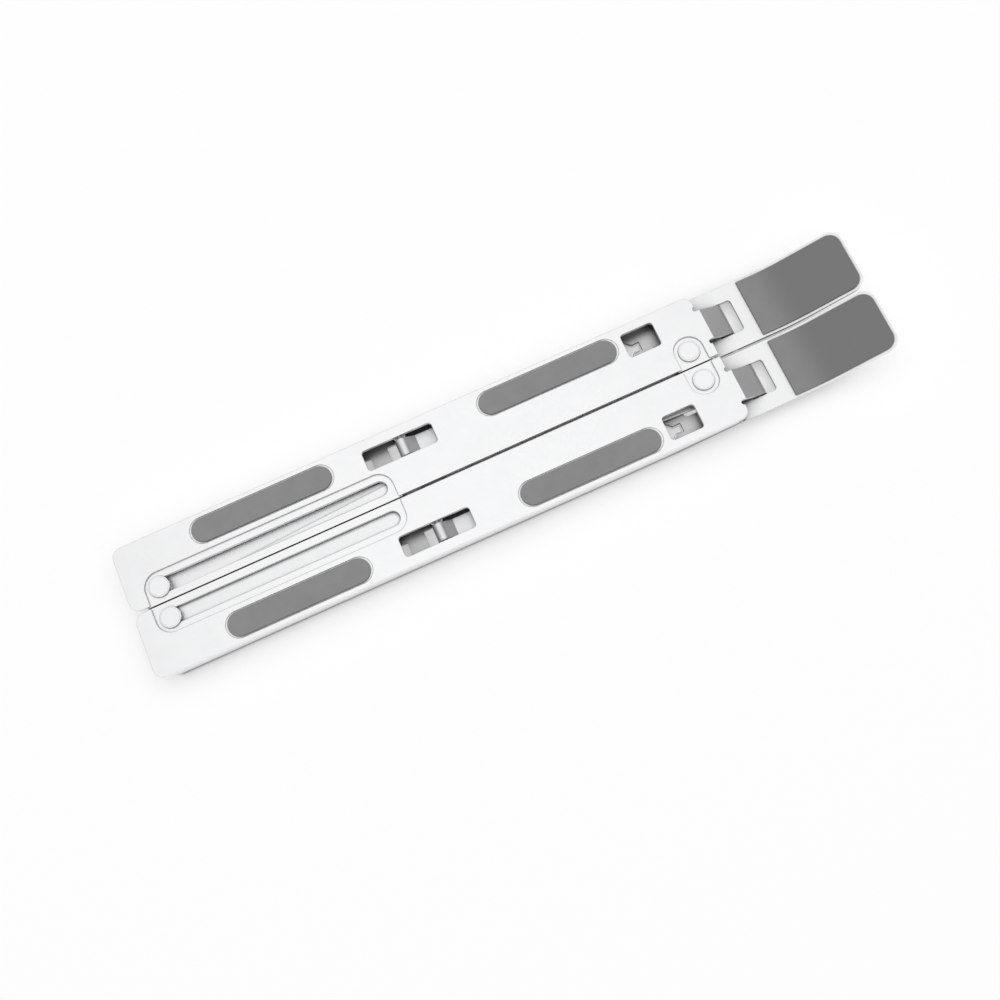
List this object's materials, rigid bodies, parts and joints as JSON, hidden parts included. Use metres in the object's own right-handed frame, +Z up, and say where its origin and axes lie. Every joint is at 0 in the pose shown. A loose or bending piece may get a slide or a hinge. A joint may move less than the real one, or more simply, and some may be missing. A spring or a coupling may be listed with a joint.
{
  "type": "folding laptop stand",
  "caption": "Folding laptop stand in bent aluminium sheet: twin hinged arms with hooks and rubber pads, joined by crossed links and held up by hinged prop struts.",
  "frame": {"origin": "middle of the folded stand's outline, on the floor that the feet rest on", "axes": "+X along the arms towards the hooks, +Z up, +Y towards the right arm as its user sees it from the hooks"},
  "size_m": [0.2676, 0.047, 0.0129],
  "materials": {
    "anodised_aluminium": "bead-blasted and anodised, satin",
    "link_metal": "satin anodised",
    "strut_metal": "tumbled and anodised, satin",
    "rivet_metal": "smooth satin",
    "pad_rubber": "matt silicone",
    "hook_rubber": "matt silicone, slightly smoother",
    "foot_rubber": "matt silicone"
  },
  "bodies": {
    "left_base": {"left_base_arm": "anodised_aluminium", "left_hook_pad": "hook_rubber", "left_hinge_pin": "rivet_metal", "left_front_foot": "foot_rubber", "left_rear_foot": "foot_rubber"},
    "left_top": {"left_top_arm": "anodised_aluminium", "left_rear_pad": "pad_rubber", "left_front_pad": "pad_rubber", "left_strut_pin": "rivet_metal", "left_pivot_rivet": "rivet_metal", "pivot_spacer": "rivet_metal"},
    "left_prop": {"left_strut": "strut_metal"},
    "lower_bar": {"lower_link": "link_metal", "centre_rivet": "rivet_metal", "right_slide_pin": "rivet_metal", "slide_spacer": "rivet_metal"},
    "upper_bar": {"upper_link": "link_metal", "left_slide_pin": "rivet_metal"},
    "right_top": {"right_top_arm": "anodised_aluminium", "right_rear_pad": "pad_rubber", "right_front_pad": "pad_rubber", "right_strut_pin": "rivet_metal", "right_pivot_rivet": "rivet_metal"},
    "right_base": {"right_base_arm": "anodised_aluminium", "right_hook_pad": "hook_rubber", "right_hinge_pin": "rivet_metal", "right_front_foot": "foot_rubber", "right_rear_foot": "foot_rubber"},
    "right_prop": {"right_strut": "strut_metal"}
  },
  "joints": [
    {"name": "lift", "type": "hinge", "parent": "left_base", "child": "left_top", "pos_m": [0.08615, -0.012, 0.0033], "axis": [0, 1, 0], "range_deg": [0, 55]},
    {"name": "spread", "type": "hinge", "parent": "left_top", "child": "lower_bar", "pos_m": [0.07065, -0.0056, 0.0048], "axis": [0, 0, -1], "range_deg": [0, 50.4]},
    {"name": "bars_scissor", "type": "hinge", "parent": "lower_bar", "child": "upper_bar", "pos_m": [-0.026, 0, 0.00547], "axis": [0, 0, 1], "range_deg": [0, 101]},
    {"name": "right_arm_pivot", "type": "hinge", "parent": "upper_bar", "child": "right_top", "pos_m": [0.07065, 0.0056, 0.00615], "axis": [0, 0, -1], "range_deg": [0, 50.5]},
    {"name": "right_base_fold", "type": "hinge", "parent": "right_top", "child": "right_base", "pos_m": [0.08615, 0.012, 0.0033], "axis": [0, -1, 0], "range_deg": [0, 55.1]},
    {"name": "left_strut_swing", "type": "hinge", "parent": "left_top", "child": "left_prop", "pos_m": [-0.03015, -0.01615, 0.006], "axis": [0, 1, 0], "range_deg": [0, 118]},
    {"name": "right_strut_swing", "type": "hinge", "parent": "right_top", "child": "right_prop", "pos_m": [-0.03015, 0.01615, 0.006], "axis": [0, 1, 0], "range_deg": [0, 118]}
  ],
  "couplings": [
    {"joint": "bars_scissor", "follows": "spread", "ratio": 2},
    {"joint": "right_arm_pivot", "follows": "spread", "ratio": 1},
    {"joint": "right_base_fold", "follows": "lift", "ratio": 1}
  ]
}
